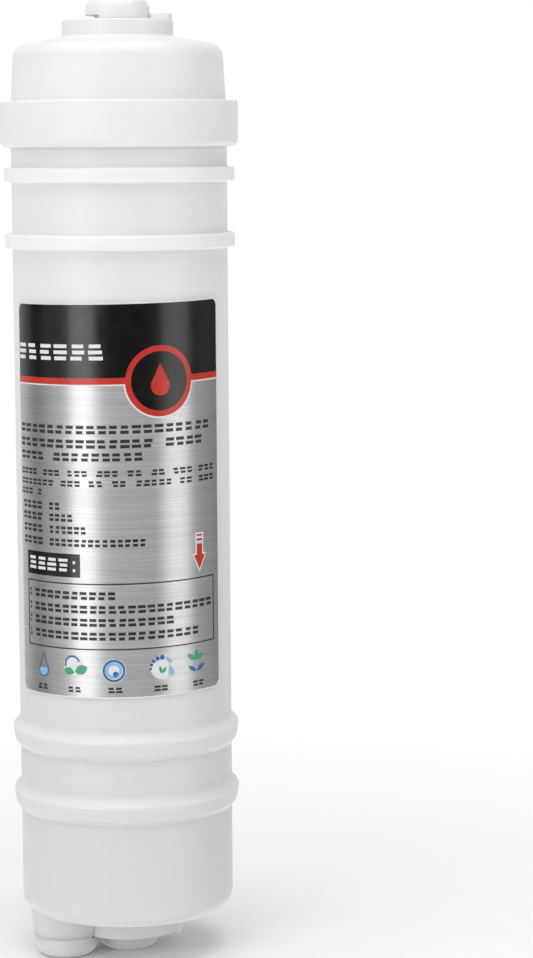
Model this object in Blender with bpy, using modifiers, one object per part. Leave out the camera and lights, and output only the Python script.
"""Inline reverse-osmosis filter cartridge with push-fit ports for 6.35 mm tube.

A welded plastic housing holds a spiral-wound membrane element. Feed water enters at the top,
permeate leaves at the middle of the bottom and concentrate leaves at the side of the bottom.
+Z is up. The origin is on the housing axis, level with the ends of the two lower ports.
The label faces -Y. Lengths are written in millimetres, and the helpers turn them into metres.
"""

import math

import bmesh
import bpy
from mathutils import Matrix, Vector

MM = 0.001
GAP = 0.3  # clearance between neighbouring pieces

# Housing: a closed-bottom tube with four clip ribs
BODY_R = 30.0
WALL = 2.5
BORE_R = BODY_R - WALL
BOTTOM_Z = 12.3
BOTTOM_ROUND = 4.5
FLOOR_Z = BOTTOM_Z + 3.0
TUBE_TOP_Z = 238.5
RIB_HEIGHT = 2.05
UPPER_RIBS_Z = (220.4, 202.2)
UPPER_RIB_HALF = 1.95
LOWER_RIBS_Z = (63.7, 45.6)
LOWER_RIB_HALF = 3.6
POST_R = 11.0
POST_TOP_Z = 38.0
SOCKET_R = 8.5
SOCKET_FLOOR_Z = 27.5

# Raised round platforms that carry the coaxial ports
PLATFORM_R = 15.4
PLATFORM_EDGE = 0.4
FEED_PLATFORM_Z = 262.75
PERMEATE_PLATFORM_Z = 5.5
STOP_INNER_R = 9.6
STOP_OUTER_R = 15.1
STOP_HALF_ANGLE = 22.0
FEED_STOP_HEIGHT = 1.7
PERMEATE_STOP_HEIGHT = 1.3

# End cap: collar, domed shoulder and platform
COLLAR_R = 33.1
COLLAR_BOTTOM_Z = 227.9
COLLAR_TOP_Z = 240.6
COLLAR_ROUND = 2.0
SKIRT_R = BODY_R + GAP
SHOULDER_BASE_R = 29.8
SHOULDER_R = 29.1
SHOULDER_Z = 252.4
SHOULDER_ROUND = 4.0
CROWN_Z = 258.3
CAP_BORE_R = 26.9
CAP_BORE_TOP_Z = 250.5
FEED_BOSS_R = 9.5
FEED_BOSS_Z = 250.5

# Side boss of the concentrate port, with its fairing out to the housing wall
SIDE_X = -17.7
SIDE_Y = -6.6
SIDE_BOSS_R = 10.2
SIDE_BOSS_END_R = 9.4
SIDE_BOSS_TOP_Z = 14.9
SIDE_BOSS_BOTTOM_Z = 5.9
SIDE_PAD_R = 7.2
SIDE_PAD_TOP_Z = 18.6
FAIRING_R = BODY_R + 0.25
FAIRING_TOP_Z = 22.0
FAIRING_TOP_RADIUS = 11.0
FAIRING_LOW_Z = 15.9
FAIRING_LOW_RADIUS = 12.1
FAIRING_CHAMFER = 3.55

# Push-fit port, measured along its axis from the mouth (0) inward (negative)
PORT_R = 8.9
PORT_HEAD = 6.4
PORT_ROUND_R = 3.4
PORT_ROUND_Z = 4.0
PORT_BORE_R = 4.8
PORT_CHAMBER_R = 6.1
PORT_LIP = 6.0
SPIGOT_R = 7.6
SPIGOT_END = 10.2
SEAT_R = 9.2
POCKET_R = 7.9
POCKET_DEPTH = 11.3
SEAL_R = 5.3
SEAL_DEPTH = 14.4
TUBE_SOCKET_R = 3.35
TUBE_STOP = 16.4
PASSAGE_R = 2.2
WINDOW_TOP = 5.1
WINDOW_INNER_R = 6.4
WINDOW_HALF_ANGLE = 55.0
COLLET_R = 4.5
COLLET_SHOULDER_R = 5.7
COLLET_BORE_R = 3.4
COLLET_END = 9.4
GRAB_OUTER_R = 7.5
GRAB_TOOTH_R = 3.2
GRAB_TEETH = 8
PORT_SEAL_RADIUS = 4.2
PORT_SEAL_CORD = 0.95
PORT_SEAL_DEPTH = 13.2

# Membrane element
ELEMENT_BOTTOM_Z = 44.0
ELEMENT_TOP_Z = 231.4
CORE_R = 8.2
CORE_BORE_R = 5.5
CORE_BOTTOM_Z = 27.8
CORE_TOP_Z = 239.5
CORE_SEALS_Z = (35.0, 31.0)
CORE_GROOVE_R = 6.4
CORE_SEAL_RADIUS = 7.5
CORE_SEAL_CORD = 0.7
DRILLING_LEVELS = 8
DRILLING_PITCH = 23.0
PLUG_R = 7.8
PLUG_DEPTH = 7.0
SHEET_START_R = 8.8
SHEET_PITCH = 3.1
SHEET_TURNS = 4.25
SHEET_POINTS_PER_TURN = 12
WRAP_R = 25.5
RING_R = 25.6
RING_WINDOWS = 6
RING_WINDOW_R = (11.5, 21.5)
RING_SPOKE_ANGLE = 12.0
FEED_RING_HEIGHT = 4.9
FEED_RING_FLANGE = 1.3
SEAL_SEAT_R = 23.6
SEAL_KEEPER_R = 24.7
SEAL_KEEPER_Z = 4.0

# Check valve in the permeate outlet
VALVE_R = 4.6
VALVE_FLOOR_Z = 18.0
SPRING_BOTTOM_Z = 18.3
SPRING_TOP_Z = 23.3
SPRING_R = 2.6
SPRING_WIRE_R = 0.25
SPRING_TURNS = 4
POPPET_Z = 23.6

# Label
LABEL_BOTTOM_Z = 77.8
LABEL_TOP_Z = 186.3
LABEL_FROM = -69.6
LABEL_TO = 60.2
LABEL_FILM = 0.2
LABEL_STEPS = 18

BIG_STEPS = 32
PORT_STEPS = 20
SMALL_STEPS = 16
CORD_SIDES = 6


def clear_scene():
    for item in list(bpy.data.objects):
        bpy.data.objects.remove(item, do_unlink=True)


def new_collection(name):
    collection = bpy.data.collections.new(name)
    bpy.context.scene.collection.children.link(collection)
    return collection


def principled(name, colour, roughness, metallic=0.0):
    material = bpy.data.materials.new(name)
    material.use_nodes = True
    shader = material.node_tree.nodes["Principled BSDF"]
    shader.inputs["Base Color"].default_value = (*colour, 1.0)
    shader.inputs["Roughness"].default_value = roughness
    shader.inputs["Metallic"].default_value = metallic
    return material


def make_materials():
    return {
        "housing": principled("translucent_polypropylene", (0.80, 0.81, 0.82), 0.35),
        "cap": principled("white_polypropylene", (0.88, 0.88, 0.87), 0.4),
        "label": principled("silver_label_film", (0.62, 0.62, 0.64), 0.3, 0.6),
        "collet": principled("white_acetal", (0.85, 0.85, 0.83), 0.35),
        "steel": principled("stainless_steel", (0.62, 0.62, 0.60), 0.25, 1.0),
        "rubber": principled("black_nitrile", (0.03, 0.03, 0.03), 0.6),
        "core": principled("white_abs", (0.84, 0.84, 0.80), 0.45),
        "membrane": principled("polyamide_membrane", (0.86, 0.84, 0.78), 0.55),
        "mesh": principled("spacer_netting", (0.75, 0.80, 0.78), 0.6),
        "carrier": principled("permeate_tricot", (0.90, 0.90, 0.88), 0.8),
        "wrap": principled("element_wrap_tape", (0.70, 0.78, 0.84), 0.4),
    }


def place(item, collection, material=None, location=(0, 0, 0), facing_down=False):
    """Link an object, give it its material and put it at a place in millimetres."""
    collection.objects.link(item)
    item.location = Vector(location) * MM
    if facing_down:
        item.rotation_euler = (math.pi, 0.0, 0.0)
    if material:
        item.data.materials.append(material)
    else:
        item.hide_render = True
        item.display_type = "WIRE"
    return item


def arc(centre, radii, start, end, count):
    """Points on an elliptical arc, with its angles in degrees."""
    points = []
    for step in range(count + 1):
        angle = math.radians(start + (end - start) * step / count)
        points.append((centre[0] + radii[0] * math.cos(angle), centre[1] + radii[1] * math.sin(angle)))
    return points


def turned(name, profile, steps, closed=True):
    """A solid of revolution: (radius, height) points, down the outer side and up the inner side."""
    mesh = bpy.data.meshes.new(name)
    shape = bmesh.new()
    verts = [shape.verts.new((radius * MM, 0.0, height * MM)) for radius, height in profile]
    for first, second in zip(verts, verts[1:]):
        shape.edges.new((first, second))
    if closed:
        shape.edges.new((verts[-1], verts[0]))
    shape.to_mesh(mesh)
    shape.free()
    item = bpy.data.objects.new(name, mesh)
    screw = item.modifiers.new("turn", "SCREW")
    screw.axis = "Z"
    screw.angle = math.tau
    screw.steps = steps
    screw.render_steps = steps
    screw.use_merge_vertices = True
    screw.merge_threshold = 0.00001
    return item


def cylinder(name, radius, bottom, top, steps):
    return turned(name, [(0, top), (radius, top), (radius, bottom), (0, bottom)], steps, closed=False)


def torus(name, radius, cord, height, steps):
    section = arc((radius, height), (cord, cord), 90, -270, CORD_SIDES)[:-1]
    return turned(name, section, steps)


def extruded(name, outline, bottom, top):
    """A flat outline in millimetres, filled and extruded between two heights."""
    curve = bpy.data.curves.new(name, "CURVE")
    curve.dimensions = "2D"
    curve.fill_mode = "BOTH"
    curve.extrude = (top - bottom) / 2 * MM
    spline = curve.splines.new("POLY")
    spline.points.add(len(outline) - 1)
    for point, (x, y) in zip(spline.points, outline):
        point.co = (x * MM, y * MM, 0.0, 1.0)
    spline.use_cyclic_u = True
    guide = bpy.data.objects.new(name + "_outline", curve)
    bpy.context.scene.collection.objects.link(guide)
    mesh = bpy.data.meshes.new_from_object(guide.evaluated_get(bpy.context.evaluated_depsgraph_get()))
    bpy.data.objects.remove(guide, do_unlink=True)
    shape = bmesh.new()
    shape.from_mesh(mesh)
    bmesh.ops.remove_doubles(shape, verts=shape.verts, dist=0.000001)
    bmesh.ops.translate(shape, verts=shape.verts, vec=(0, 0, (top + bottom) / 2 * MM))
    bmesh.ops.recalc_face_normals(shape, faces=shape.faces)
    shape.to_mesh(mesh)
    shape.free()
    mesh.name = name
    return bpy.data.objects.new(name, mesh)


def join_copies(name, item, turns):
    """One object that holds a copy of the mesh at each turn about Z, in degrees."""
    shape = bmesh.new()
    for turn in turns:
        start = len(shape.verts)
        shape.from_mesh(item.data)
        shape.verts.ensure_lookup_table()
        angle = math.radians(turn)
        for vert in shape.verts[start:]:
            x, y, z = vert.co
            vert.co = (
                x * math.cos(angle) - y * math.sin(angle),
                x * math.sin(angle) + y * math.cos(angle),
                z,
            )
    mesh = bpy.data.meshes.new(name)
    shape.to_mesh(mesh)
    shape.free()
    bpy.data.objects.remove(item, do_unlink=True)
    return bpy.data.objects.new(name, mesh)


def sector_outline(inner, outer, half_angle, count=5):
    """A ring sector about +X in the XY plane."""
    outer_side = arc((0, 0), (outer, outer), -half_angle, half_angle, count)
    inner_side = arc((0, 0), (inner, inner), half_angle, -half_angle, count)
    return outer_side + inner_side


def boolean(target, tool, operation):
    modifier = target.modifiers.new(tool.name, "BOOLEAN")
    modifier.operation = operation
    modifier.solver = "EXACT"
    modifier.object = tool


def square_rib(centre):
    """Down the outer side of an upper clip rib."""
    outer = BODY_R + RIB_HEIGHT
    half = UPPER_RIB_HALF
    return [
        (BODY_R, centre + half + 0.1),
        (outer - 0.4, centre + half),
        (outer, centre + half - 0.4),
        (outer, centre - half + 0.4),
        (outer - 0.4, centre - half),
        (BODY_R, centre - half - 0.1),
    ]


def round_rib(centre):
    """Down the outer side of a lower clip rib."""
    return arc((BODY_R, centre), (RIB_HEIGHT, LOWER_RIB_HALF), 90, -90, 6)


def port_socket(name, seat, through):
    """The stepped space that a push-fit port needs in the piece that carries it."""
    start = [(0, 2), (SEAT_R, 2), (SEAT_R, -PORT_HEAD)] if seat else [(0, 2), (POCKET_R, 2)]
    steps = start + [(POCKET_R, -PORT_HEAD)] if seat else start
    profile = steps + [
        (POCKET_R, -POCKET_DEPTH),
        (SEAL_R, -POCKET_DEPTH),
        (SEAL_R, -SEAL_DEPTH),
        (TUBE_SOCKET_R, -SEAL_DEPTH),
        (TUBE_SOCKET_R, -TUBE_STOP),
        (PASSAGE_R, -TUBE_STOP),
        (PASSAGE_R, -through),
        (0, -through),
    ]
    return turned(name, profile, PORT_STEPS, closed=False)


def build_housing(nodes, tools, materials):
    profile = [
        (0, SOCKET_FLOOR_Z),
        (SOCKET_R, SOCKET_FLOOR_Z),
        (SOCKET_R, POST_TOP_Z),
        (POST_R, POST_TOP_Z),
        (POST_R, FLOOR_Z),
        (BORE_R - 2.0, FLOOR_Z),
        (BORE_R, FLOOR_Z + 2.0),
        (BORE_R, TUBE_TOP_Z),
        (BODY_R, TUBE_TOP_Z),
    ]
    for centre in UPPER_RIBS_Z:
        profile += square_rib(centre)
    for centre in LOWER_RIBS_Z:
        profile += round_rib(centre)
    corner = (BODY_R - BOTTOM_ROUND, BOTTOM_Z + BOTTOM_ROUND)
    profile += arc(corner, (BOTTOM_ROUND, BOTTOM_ROUND), 0, -90, 4)
    profile += [
        (PLATFORM_R, BOTTOM_Z),
        (PLATFORM_R, PERMEATE_PLATFORM_Z + PLATFORM_EDGE),
        (PLATFORM_R - PLATFORM_EDGE, PERMEATE_PLATFORM_Z),
        (0, PERMEATE_PLATFORM_Z),
    ]
    housing = place(turned("housing", profile, BIG_STEPS, closed=False), nodes, materials["housing"])

    # The fairing fills the rounded edge beside the concentrate port and ends in a chamfer
    fairing = place(
        turned(
            "housing_fairing",
            [
                (0, FAIRING_TOP_Z),
                (FAIRING_R, FAIRING_TOP_Z),
                (FAIRING_R, FAIRING_LOW_Z),
                (FAIRING_R - FAIRING_CHAMFER, FAIRING_LOW_Z - FAIRING_CHAMFER),
                (0, FAIRING_LOW_Z - FAIRING_CHAMFER),
            ],
            BIG_STEPS,
            closed=False,
        ),
        tools,
    )
    cone_profile = [
        (0, FAIRING_TOP_Z + 1),
        (FAIRING_TOP_RADIUS, FAIRING_TOP_Z + 1),
        (FAIRING_TOP_RADIUS, FAIRING_TOP_Z),
        (FAIRING_LOW_RADIUS, FAIRING_LOW_Z),
        (FAIRING_LOW_RADIUS, BOTTOM_Z - 1),
        (0, BOTTOM_Z - 1),
    ]
    cone = turned("fairing_cone", cone_profile, PORT_STEPS, closed=False)
    boolean(fairing, place(cone, tools, location=(SIDE_X, SIDE_Y, 0)), "INTERSECT")
    hollow = place(cylinder("fairing_hollow", BORE_R + 1.0, FLOOR_Z - 1.0, 40, BIG_STEPS), tools)
    boolean(fairing, hollow, "DIFFERENCE")
    boolean(housing, fairing, "UNION")

    boss_profile = [
        (0, SIDE_BOSS_TOP_Z),
        (SIDE_BOSS_R, SIDE_BOSS_TOP_Z),
        (SIDE_BOSS_END_R, SIDE_BOSS_BOTTOM_Z),
        (0, SIDE_BOSS_BOTTOM_Z),
    ]
    boss = turned("side_boss", boss_profile, PORT_STEPS, closed=False)
    boolean(housing, place(boss, tools, location=(SIDE_X, SIDE_Y, 0)), "UNION")
    pad = cylinder("side_pad", SIDE_PAD_R, FLOOR_Z - 1.0, SIDE_PAD_TOP_Z, PORT_STEPS)
    boolean(housing, place(pad, tools, location=(SIDE_X, SIDE_Y, 0)), "UNION")

    stop_outline = sector_outline(STOP_INNER_R, STOP_OUTER_R, STOP_HALF_ANGLE)
    stop_bottom = PERMEATE_PLATFORM_Z - PERMEATE_STOP_HEIGHT
    stop = extruded("permeate_stop", stop_outline, stop_bottom, PERMEATE_PLATFORM_Z + 1)
    boolean(housing, place(stop, tools), "UNION")

    chamber = cylinder("valve_chamber", VALVE_R, VALVE_FLOOR_Z, SOCKET_FLOOR_Z + 2, PORT_STEPS)
    boolean(housing, place(chamber, tools), "DIFFERENCE")
    socket = port_socket("permeate_socket", True, VALVE_FLOOR_Z + 1)
    boolean(housing, place(socket, tools, facing_down=True), "DIFFERENCE")
    socket = port_socket("concentrate_socket", True, SIDE_PAD_TOP_Z + 2)
    side = place(socket, tools, location=(SIDE_X, SIDE_Y, 0), facing_down=True)
    boolean(housing, side, "DIFFERENCE")
    return housing


def build_end_cap(nodes, tools, materials):
    corner = (COLLAR_R - COLLAR_ROUND, COLLAR_BOTTOM_Z + COLLAR_ROUND)
    shoulder = (SHOULDER_R - SHOULDER_ROUND, SHOULDER_Z)
    profile = [
        (0, FEED_PLATFORM_Z),
        (PLATFORM_R - PLATFORM_EDGE, FEED_PLATFORM_Z),
        (PLATFORM_R, FEED_PLATFORM_Z - PLATFORM_EDGE),
        (PLATFORM_R, CROWN_Z),
        *arc(shoulder, (SHOULDER_ROUND, SHOULDER_ROUND), 80, 4, 5),
        (SHOULDER_BASE_R, COLLAR_TOP_Z),
        (COLLAR_R - 0.4, COLLAR_TOP_Z),
        (COLLAR_R, COLLAR_TOP_Z - 0.4),
        *arc(corner, (COLLAR_ROUND, COLLAR_ROUND), 0, -90, 3),
        (SKIRT_R, COLLAR_BOTTOM_Z),
        (SKIRT_R, TUBE_TOP_Z + GAP),
        (CAP_BORE_R, TUBE_TOP_Z + GAP),
        (CAP_BORE_R, CAP_BORE_TOP_Z),
        (CAP_BORE_R - 3.0, CAP_BORE_TOP_Z + 3.0),
        (FEED_BOSS_R, CAP_BORE_TOP_Z + 4.5),
        (FEED_BOSS_R, FEED_BOSS_Z),
        (0, FEED_BOSS_Z),
    ]
    cap = place(turned("end_cap", profile, BIG_STEPS, closed=False), nodes, materials["cap"])
    stop_outline = sector_outline(STOP_INNER_R, STOP_OUTER_R, STOP_HALF_ANGLE)
    stop_top = FEED_PLATFORM_Z + FEED_STOP_HEIGHT
    stop = extruded("feed_stop", stop_outline, FEED_PLATFORM_Z - 1, stop_top)
    boolean(cap, place(stop, tools), "UNION")
    mouth = FEED_PLATFORM_Z + PORT_HEAD
    socket = port_socket("feed_socket", False, mouth - FEED_BOSS_Z + 2)
    boolean(cap, place(socket, tools, location=(0, 0, mouth)), "DIFFERENCE")
    return cap


def build_port(prefix, location, facing_down, window_turn, nodes, tools, materials):
    """The four pieces of one push-fit port; local z is 0 at the mouth and negative inward."""
    seat = -(PORT_HEAD - GAP)
    cap_profile = [
        (PORT_BORE_R, 0),
        *arc((PORT_R - PORT_ROUND_R, -PORT_ROUND_Z), (PORT_ROUND_R, PORT_ROUND_Z), 90, 0, 5),
        (PORT_R, seat),
        (SPIGOT_R, seat),
        (SPIGOT_R, -SPIGOT_END),
        (PORT_CHAMBER_R, -SPIGOT_END),
        (PORT_CHAMBER_R, -PORT_LIP),
        (PORT_BORE_R, -PORT_LIP),
    ]
    cap = turned(prefix + "_port_cap", cap_profile, PORT_STEPS)
    place(cap, nodes, materials["cap"], location, facing_down)
    window_outline = sector_outline(WINDOW_INNER_R, PORT_R + 1.0, WINDOW_HALF_ANGLE)
    window = extruded(prefix + "_window", window_outline, seat - 0.15, -WINDOW_TOP)
    window.data.transform(Matrix.Rotation(math.radians(window_turn), 4, "Z"))
    place(window, tools, None, location, facing_down)
    boolean(cap, window, "DIFFERENCE")

    collet_profile = [
        (COLLET_BORE_R + 0.4, -0.2),
        (COLLET_R, -0.2),
        (COLLET_R, -PORT_LIP - 0.4),
        (COLLET_SHOULDER_R, -PORT_LIP - 0.4),
        (COLLET_SHOULDER_R, -PORT_LIP - 1.6),
        (COLLET_BORE_R + 1.0, -PORT_LIP - 1.6),
        (COLLET_BORE_R + 0.6, -COLLET_END),
        (COLLET_BORE_R, -COLLET_END),
        (COLLET_BORE_R, -0.7),
    ]
    collet = turned(prefix + "_collet", collet_profile, PORT_STEPS)
    place(collet, nodes, materials["collet"], location, facing_down)

    # A flat washer whose inner part is a cone of teeth that lean inward
    grab_top = -SPIGOT_END - GAP
    grab_profile = [
        (GRAB_OUTER_R, grab_top),
        (GRAB_OUTER_R, grab_top - 0.45),
        (5.0, grab_top - 0.45),
        (GRAB_TOOTH_R, grab_top - 1.35),
        (GRAB_TOOTH_R + 0.3, grab_top - 0.95),
        (5.2, grab_top),
    ]
    grab = turned(prefix + "_grab_ring", grab_profile, PORT_STEPS)
    place(grab, nodes, materials["steel"], location, facing_down)
    slot = extruded("slot", [(2.4, -0.35), (5.6, -0.35), (5.6, 0.35), (2.4, 0.35)], -13, -9)
    turns = [360.0 * (tooth + 0.5) / GRAB_TEETH for tooth in range(GRAB_TEETH)]
    slots = join_copies(prefix + "_grab_slots", slot, turns)
    place(slots, tools, None, location, facing_down)
    boolean(grab, slots, "DIFFERENCE")

    seal = torus(prefix + "_o_ring", PORT_SEAL_RADIUS, PORT_SEAL_CORD, -PORT_SEAL_DEPTH, PORT_STEPS)
    place(seal, nodes, materials["rubber"], location, facing_down)


def spiral(offset, start_turn, end_turn):
    """Points along the winding, at a radial offset from the first layer's inner face."""
    count = round((end_turn - start_turn) * SHEET_POINTS_PER_TURN)
    points = []
    for step in range(count + 1):
        turn = start_turn + step / SHEET_POINTS_PER_TURN
        radius = SHEET_START_R + SHEET_PITCH * turn + offset
        angle = math.tau * turn
        points.append((radius * math.cos(angle), radius * math.sin(angle)))
    return points


def build_element(nodes, tools, materials):
    core_profile = [(CORE_BORE_R, CORE_TOP_Z), (CORE_R, CORE_TOP_Z)]
    for centre in CORE_SEALS_Z:
        core_profile += [
            (CORE_R, centre + 1.0),
            (CORE_GROOVE_R, centre + 1.0),
            (CORE_GROOVE_R, centre - 1.0),
            (CORE_R, centre - 1.0),
        ]
    core_profile += [
        (CORE_R, CORE_BOTTOM_Z + 0.6),
        (CORE_R - 0.6, CORE_BOTTOM_Z),
        (CORE_BORE_R, CORE_BOTTOM_Z),
    ]
    core = place(turned("permeate_tube", core_profile, PORT_STEPS), nodes, materials["core"])
    drill = bmesh.new()
    for level in range(DRILLING_LEVELS):
        height = ELEMENT_BOTTOM_Z + DRILLING_PITCH * (level + 0.5)
        for vert in bmesh.ops.create_cone(
            drill, cap_ends=True, segments=8, radius1=1.0 * MM, radius2=1.0 * MM, depth=24 * MM
        )["verts"]:
            x, y, z = vert.co
            across = (z, y, x) if level % 2 else (y, z, x)
            vert.co = (across[0], across[1], across[2] + height * MM)
    bmesh.ops.recalc_face_normals(drill, faces=drill.faces)
    mesh = bpy.data.meshes.new("core_drillings")
    drill.to_mesh(mesh)
    drill.free()
    boolean(core, place(bpy.data.objects.new("core_drillings", mesh), tools), "DIFFERENCE")

    plug_profile = [
        (0, CORE_TOP_Z + 2.6),
        (PLUG_R - 0.8, CORE_TOP_Z + 2.6),
        (PLUG_R, CORE_TOP_Z + 1.8),
        (PLUG_R, CORE_TOP_Z + GAP),
        (CORE_BORE_R - GAP, CORE_TOP_Z + GAP),
        (CORE_BORE_R - GAP - 0.5, CORE_TOP_Z - PLUG_DEPTH),
        (0, CORE_TOP_Z - PLUG_DEPTH),
    ]
    plug = turned("permeate_tube_plug", plug_profile, SMALL_STEPS, closed=False)
    place(plug, nodes, materials["core"])
    for name, height in zip(("upper", "lower"), CORE_SEALS_Z):
        seal = torus(
            f"permeate_tube_o_ring_{name}", CORE_SEAL_RADIUS, CORE_SEAL_CORD, height, PORT_STEPS
        )
        place(seal, nodes, materials["rubber"])

    bottom = ELEMENT_BOTTOM_Z + GAP
    top = ELEMENT_TOP_Z - GAP
    carrier = spiral(0.55, 0, SHEET_TURNS) + spiral(0.0, 0, SHEET_TURNS)[::-1]
    place(extruded("permeate_carrier", carrier, bottom, top), nodes, materials["carrier"])
    # The membrane is one sheet folded round the feed spacer, with the fold next to the tube
    step = 1 / SHEET_POINTS_PER_TURN
    fold = step
    leaf = (
        spiral(2.75, fold, SHEET_TURNS)
        + spiral(2.35, fold + step, SHEET_TURNS)[::-1]
        + spiral(1.25, fold + step, SHEET_TURNS)
        + spiral(0.85, fold, SHEET_TURNS)[::-1]
    )
    place(extruded("membrane_leaf", leaf, bottom, top), nodes, materials["membrane"])
    start = fold + 2 * step
    spacer = spiral(2.05, start, SHEET_TURNS) + spiral(1.55, start, SHEET_TURNS)[::-1]
    place(extruded("feed_spacer", spacer, bottom, top), nodes, materials["mesh"])

    wrap_profile = [
        (WRAP_R - 0.4, ELEMENT_TOP_Z),
        (WRAP_R, ELEMENT_TOP_Z),
        (WRAP_R, ELEMENT_BOTTOM_Z),
        (WRAP_R - 0.4, ELEMENT_BOTTOM_Z),
    ]
    place(turned("element_wrap", wrap_profile, BIG_STEPS), nodes, materials["wrap"])


def ring_windows(name, bottom, top, tools):
    """Cutters for the flow openings between the spokes of an end ring."""
    half_angle = 180.0 / RING_WINDOWS - RING_SPOKE_ANGLE / 2
    window = extruded("window", sector_outline(*RING_WINDOW_R, half_angle, 4), bottom - 1, top + 1)
    turns = [360.0 * index / RING_WINDOWS for index in range(RING_WINDOWS)]
    return place(join_copies(name, window, turns), tools)


def build_end_rings(nodes, tools, materials):
    """The spoked rings that keep the winding from sliding out, and the seal on the feed end."""
    brine_top = ELEMENT_BOTTOM_Z - GAP
    brine_bottom = POST_TOP_Z + 1.0
    profile = [
        (CORE_R + GAP, brine_top),
        (RING_R, brine_top),
        (RING_R, brine_bottom + 0.8),
        (RING_R - 0.8, brine_bottom),
        (CORE_R + GAP, brine_bottom),
    ]
    ring = place(turned("brine_end_ring", profile, BIG_STEPS), nodes, materials["core"])
    boolean(ring, ring_windows("brine_windows", brine_bottom, brine_top, tools), "DIFFERENCE")

    base = ELEMENT_TOP_Z + GAP
    profile = [
        (CORE_R + GAP, base + FEED_RING_HEIGHT),
        (SEAL_KEEPER_R, base + FEED_RING_HEIGHT),
        (SEAL_KEEPER_R, base + SEAL_KEEPER_Z),
        (SEAL_SEAT_R, base + SEAL_KEEPER_Z),
        (SEAL_SEAT_R, base + FEED_RING_FLANGE),
        (RING_R, base + FEED_RING_FLANGE),
        (RING_R, base),
        (CORE_R + GAP, base),
    ]
    ring = place(turned("feed_end_ring", profile, BIG_STEPS), nodes, materials["core"])
    boolean(ring, ring_windows("feed_windows", base, base + FEED_RING_HEIGHT, tools), "DIFFERENCE")
    # A U-cup: its outer lip leans out and up to the housing wall, its foot grips the ring
    foot_z = base + FEED_RING_FLANGE + GAP
    lip = [
        (26.8, base + 4.7),
        (27.1, base + 4.5),
        (26.0, foot_z),
        (SEAL_SEAT_R + GAP, foot_z),
        (SEAL_SEAT_R + GAP, base + 3.6),
        (24.9, base + 3.6),
        (25.3, base + 2.6),
    ]
    place(turned("brine_seal", lip, BIG_STEPS), nodes, materials["rubber"])


def build_check_valve(nodes, materials):
    seat_profile = [
        (1.8, SOCKET_FLOOR_Z - 0.3),
        (VALVE_R - GAP, SOCKET_FLOOR_Z - 0.3),
        (VALVE_R - GAP, SOCKET_FLOOR_Z - 2.1),
        (2.4, SOCKET_FLOOR_Z - 2.1),
        (1.8, SOCKET_FLOOR_Z - 1.5),
    ]
    place(turned("check_valve_seat", seat_profile, PORT_STEPS), nodes, materials["core"])
    poppet_profile = [
        (0, 1.5),
        (1.4, 1.4),
        (3.4, 0.8),
        (3.6, 0.5),
        (3.6, 0.0),
        (1.2, 0.0),
        (1.2, -2.6),
        (0.8, -3.0),
        (0, -3.0),
    ]
    poppet = turned("check_valve_poppet", poppet_profile, SMALL_STEPS, closed=False)
    place(poppet, nodes, materials["collet"], (0, 0, POPPET_Z))

    curve = bpy.data.curves.new("check_valve_spring", "CURVE")
    curve.dimensions = "3D"
    curve.bevel_depth = SPRING_WIRE_R * MM
    curve.bevel_resolution = 2
    curve.use_fill_caps = True
    spline = curve.splines.new("POLY")
    count = SPRING_TURNS * 10
    spline.points.add(count)
    rise = SPRING_TOP_Z - SPRING_BOTTOM_Z - 2 * SPRING_WIRE_R
    for index, point in enumerate(spline.points):
        angle = math.tau * SPRING_TURNS * index / count
        height = SPRING_BOTTOM_Z + SPRING_WIRE_R + rise * index / count
        point.co = (
            SPRING_R * math.cos(angle) * MM,
            SPRING_R * math.sin(angle) * MM,
            height * MM,
            1.0,
        )
    place(bpy.data.objects.new("check_valve_spring", curve), nodes, materials["steel"])


def build_label(nodes, materials):
    """A curved film: a vertical line swept round part of the housing and thickened."""
    mesh = bpy.data.meshes.new("label")
    shape = bmesh.new()
    radius = (BODY_R + GAP) * MM
    top = shape.verts.new((radius, 0, LABEL_TOP_Z * MM))
    bottom = shape.verts.new((radius, 0, LABEL_BOTTOM_Z * MM))
    shape.edges.new((top, bottom))
    shape.to_mesh(mesh)
    shape.free()
    label = bpy.data.objects.new("label", mesh)
    sweep = label.modifiers.new("sweep", "SCREW")
    sweep.angle = math.radians(LABEL_TO - LABEL_FROM)
    sweep.steps = LABEL_STEPS
    sweep.render_steps = LABEL_STEPS
    film = label.modifiers.new("film", "SOLIDIFY")
    film.thickness = LABEL_FILM * MM
    film.offset = 1.0
    place(label, nodes, materials["label"])
    label.rotation_euler = (0, 0, math.radians(LABEL_FROM - 90))


def main():
    clear_scene()
    nodes = new_collection("inline_water_filter")
    tools = new_collection("cutters")
    materials = make_materials()
    build_housing(nodes, tools, materials)
    build_end_cap(nodes, tools, materials)
    feed_mouth = (0, 0, FEED_PLATFORM_Z + PORT_HEAD)
    toward_middle = math.degrees(math.atan2(SIDE_Y, -SIDE_X))
    build_port("feed", feed_mouth, False, 180, nodes, tools, materials)
    build_port("permeate", (0, 0, 0), True, 180, nodes, tools, materials)
    build_port("concentrate", (SIDE_X, SIDE_Y, 0), True, toward_middle, nodes, tools, materials)
    build_element(nodes, tools, materials)
    build_end_rings(nodes, tools, materials)
    build_check_valve(nodes, materials)
    build_label(nodes, materials)


main()
